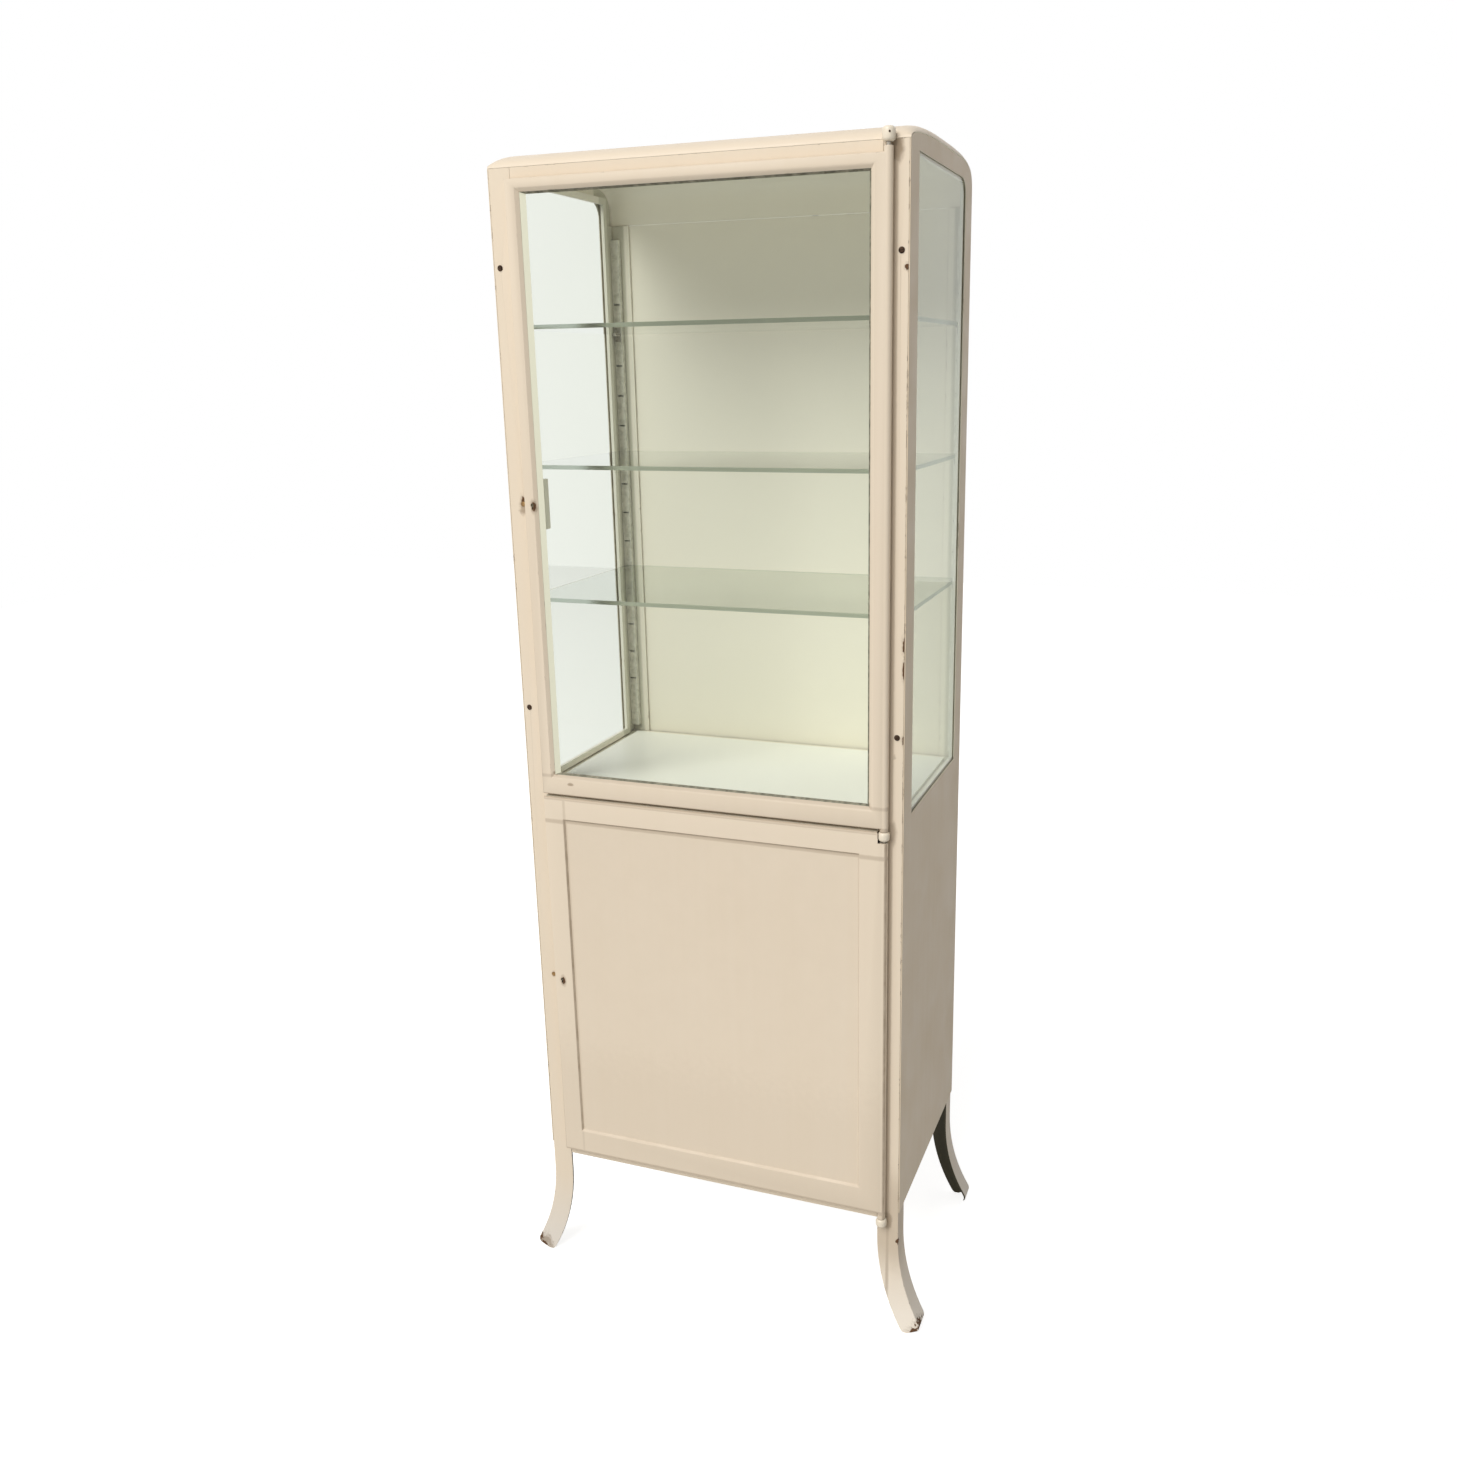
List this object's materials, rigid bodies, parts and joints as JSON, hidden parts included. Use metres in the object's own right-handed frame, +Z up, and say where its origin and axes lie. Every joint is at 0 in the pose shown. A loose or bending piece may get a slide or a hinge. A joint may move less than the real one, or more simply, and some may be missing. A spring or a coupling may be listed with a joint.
{
  "type": "medical cabinet",
  "caption": "Free-standing enamelled steel display cabinet on splayed angle legs, with a glazed upper door, glass sides and shelves, and a steel lower door.",
  "frame": {"origin": "middle of the footprint of the bounding box, on the floor", "axes": "+X to the viewer's right when facing the doors, +Y to the back, +Z up"},
  "size_m": [0.6696, 0.3856, 1.757],
  "materials": {
    "cream_enamel": "aged cream enamel on sheet steel, semi-gloss, chipped at edges",
    "lock_case_enamel": "cream enamel over a steel lock case",
    "clear_glass": "clear float glass with green edges",
    "bright_steel": "dull plated steel",
    "pin_steel": "bare turned steel",
    "brass": "aged brass",
    "dark_screw": "browned steel"
  },
  "bodies": {
    "cabinet": {"back_panel": "cream_enamel", "bottom_hinge_knob": "cream_enamel", "bottom_hinge_pin": "pin_steel", "cabinet_floor": "cream_enamel", "deck_glass": "clear_glass", "front_bottom_rail": "cream_enamel", "front_middle_rail": "cream_enamel", "front_top_rail": "cream_enamel", "glass_shelf_1": "clear_glass", "glass_shelf_2": "clear_glass", "glass_shelf_3": "clear_glass", "left_front_post": "cream_enamel", "left_front_shelf_rail": "bright_steel", "left_lower_rail_screw": "dark_screw", "left_rear_post": "cream_enamel", "left_rear_shelf_rail": "bright_steel", "left_side_glass": "clear_glass", "left_side_panel": "cream_enamel", "left_upper_rail_screw": "dark_screw", "left_window_bead": "cream_enamel", "lower_strike": "brass", "middle_hinge_knob": "cream_enamel", "middle_hinge_pin": "pin_steel", "right_front_post": "cream_enamel", "right_front_shelf_rail": "bright_steel", "right_lower_rail_screw": "dark_screw", "right_rear_post": "cream_enamel", "right_rear_shelf_rail": "bright_steel", "right_side_glass": "clear_glass", "right_side_panel": "cream_enamel", "right_upper_rail_screw": "dark_screw", "right_window_bead": "cream_enamel", "shelf_1_left_front_clip": "bright_steel", "shelf_1_left_rear_clip": "bright_steel", "shelf_1_right_front_clip": "bright_steel", "shelf_1_right_rear_clip": "bright_steel", "shelf_2_left_front_clip": "bright_steel", "shelf_2_left_rear_clip": "bright_steel", "shelf_2_right_front_clip": "bright_steel", "shelf_2_right_rear_clip": "bright_steel", "shelf_3_left_front_clip": "bright_steel", "shelf_3_left_rear_clip": "bright_steel", "shelf_3_right_front_clip": "bright_steel", "shelf_3_right_rear_clip": "bright_steel", "top_cover": "cream_enamel", "top_hinge_lug": "cream_enamel", "top_hinge_pin": "pin_steel", "upper_deck": "cream_enamel", "upper_strike": "brass"},
    "upper_door": {"upper_door_frame": "cream_enamel", "upper_door_glass": "clear_glass", "upper_door_bead": "cream_enamel", "upper_lock_case": "lock_case_enamel"},
    "lower_door": {"lower_door_panel": "cream_enamel", "lower_door_liner": "cream_enamel", "lower_lock_case": "lock_case_enamel"},
    "upper_bolt": {"upper_lock_bolt": "brass"},
    "lower_bolt": {"lower_lock_bolt": "brass"}
  },
  "joints": [
    {"name": "upper_door_hinge", "type": "hinge", "parent": "cabinet", "child": "upper_door", "pos_m": [0.2735, -0.1844, 1.27], "axis": [0, 0, 1], "range_deg": [0, 120]},
    {"name": "lower_door_hinge", "type": "hinge", "parent": "cabinet", "child": "lower_door", "pos_m": [0.2735, -0.1844, 0.5], "axis": [0, 0, 1], "range_deg": [0, 120]},
    {"name": "upper_bolt_slide", "type": "slide", "parent": "upper_door", "child": "upper_bolt", "axis": [-1, 0, 0], "range_m": [0, 0.008]},
    {"name": "lower_bolt_slide", "type": "slide", "parent": "lower_door", "child": "lower_bolt", "axis": [-1, 0, 0], "range_m": [0, 0.008]}
  ]
}
